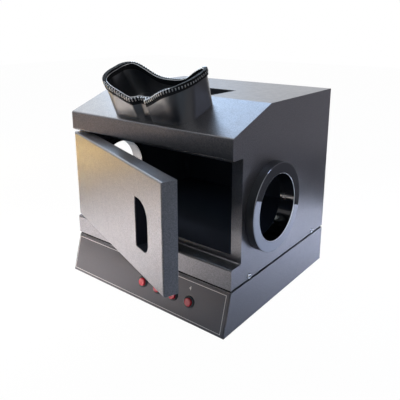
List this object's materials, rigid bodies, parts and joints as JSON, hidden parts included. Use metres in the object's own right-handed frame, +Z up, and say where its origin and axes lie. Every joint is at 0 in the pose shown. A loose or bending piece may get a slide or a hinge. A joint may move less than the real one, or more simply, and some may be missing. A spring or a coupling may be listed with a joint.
{
  "type": "ultraviolet viewing cabinet",
  "caption": "Bench-top dark cabinet with a hinged front door, face hood on a sloping top, side hand ports and a push-button base.",
  "frame": {"origin": "on the table, under the middle of the cabinet's body, between its four feet", "axes": "+Z up, -Y to the front, where the door and buttons are, +X to the right of someone facing it"},
  "size_m": [0.3256, 0.3741, 0.3388],
  "materials": {
    "grey_powder_coat": "dark gunmetal fine-textured powder coat, semi-gloss",
    "panel_paint": "dark grey panel paint, satin",
    "inner_black_paint": "matt black inner paint",
    "black_gloss_moulding": "glossy black moulding",
    "polished_collar": "polished lacquered collar",
    "black_moulding": "satin black moulding",
    "black_rubber": "satin black rubber",
    "felt": "matt black felt strip",
    "zinc_plate": "bright zinc-plated steel",
    "bright_aluminium": "bright rolled aluminium",
    "clear_glass": "clear UV-blocking glass",
    "filter_glass": "deep violet UV filter glass",
    "clear_tube": "clear quartz lamp tube",
    "white_tube": "white phosphor-coated lamp tube",
    "dark_tube": "blue-black lamp tube",
    "red_button": "glossy red moulding",
    "brass": "turned brass",
    "nickel": "nickel plate",
    "ballast_grey": "grey lacquered steel case",
    "cream_moulding": "cream moulding"
  },
  "bodies": {
    "root": {"side_panel_left": "grey_powder_coat", "side_panel_right": "grey_powder_coat", "top_cover": "grey_powder_coat", "door_frame": "grey_powder_coat", "rear_panel": "grey_powder_coat", "rear_screws": "zinc_plate", "side_screws": "zinc_plate", "body_pan": "zinc_plate", "body_screws": "zinc_plate", "chamber_floor": "inner_black_paint", "port_ring_left": "polished_collar", "port_ring_right": "polished_collar", "port_nut_left": "black_moulding", "port_nut_right": "black_moulding", "viewing_hood": "black_gloss_moulding", "hood_edge_trim": "black_rubber", "viewing_window": "clear_glass", "window_clamp": "inner_black_paint", "photo_port_frame": "black_moulding", "photo_port_glass": "clear_glass", "lamp_reflector": "bright_aluminium", "lamp_end_plates": "bright_aluminium", "lamp_holders": "cream_moulding", "lamp_caps": "bright_aluminium", "short_wave_tube": "clear_tube", "white_light_tube": "white_tube", "long_wave_tube": "dark_tube", "uv_filter_glass": "filter_glass", "filter_frame": "inner_black_paint", "hinge_pin_bottom": "zinc_plate", "hinge_pin_top": "zinc_plate", "hinge_washer": "brass", "base_case": "grey_powder_coat", "base_seal": "black_rubber", "control_panel": "panel_paint", "base_plate": "zinc_plate", "rubber_feet": "black_rubber", "button_bezels": "black_moulding", "switch_bodies": "black_moulding", "switch_nuts": "zinc_plate", "power_inlet": "black_moulding", "inlet_pins": "brass", "inlet_screws": "zinc_plate", "fuse_holder": "black_moulding", "ballast_short_wave": "ballast_grey", "ballast_long_wave": "ballast_grey", "terminal_block": "cream_moulding"},
    "door": {"door_panel": "grey_powder_coat", "door_liner": "inner_black_paint", "door_magnets": "nickel", "door_light_seal": "felt", "handle_cup": "black_moulding", "hinge_bush_bottom": "brass", "hinge_bush_top": "brass"},
    "button_1": {"button_cap_1": "red_button"},
    "button_2": {"button_cap_2": "red_button"},
    "button_3": {"button_cap_3": "red_button"},
    "button_4": {"button_cap_4": "red_button"}
  },
  "joints": [
    {"name": "door_hinge", "type": "hinge", "parent": "root", "child": "door", "pos_m": [-0.1415, -0.1244, 0.163], "axis": [0, 0, -1], "range_deg": [-20.3, 114.7]},
    {"name": "button_1_press", "type": "slide", "parent": "root", "child": "button_1", "axis": [0, 0.9614, -0.2752], "range_m": [0, 0.003], "stiffness_N_per_m": 400, "springref_m": -0.0025},
    {"name": "button_2_press", "type": "slide", "parent": "root", "child": "button_2", "axis": [0, 0.9614, -0.2752], "range_m": [0, 0.003], "stiffness_N_per_m": 400, "springref_m": -0.0025},
    {"name": "button_3_press", "type": "slide", "parent": "root", "child": "button_3", "axis": [0, 0.9614, -0.2752], "range_m": [0, 0.003], "stiffness_N_per_m": 400, "springref_m": -0.0025},
    {"name": "button_4_press", "type": "slide", "parent": "root", "child": "button_4", "axis": [0, 0.9614, -0.2752], "range_m": [0, 0.003], "stiffness_N_per_m": 400, "springref_m": -0.0025}
  ]
}
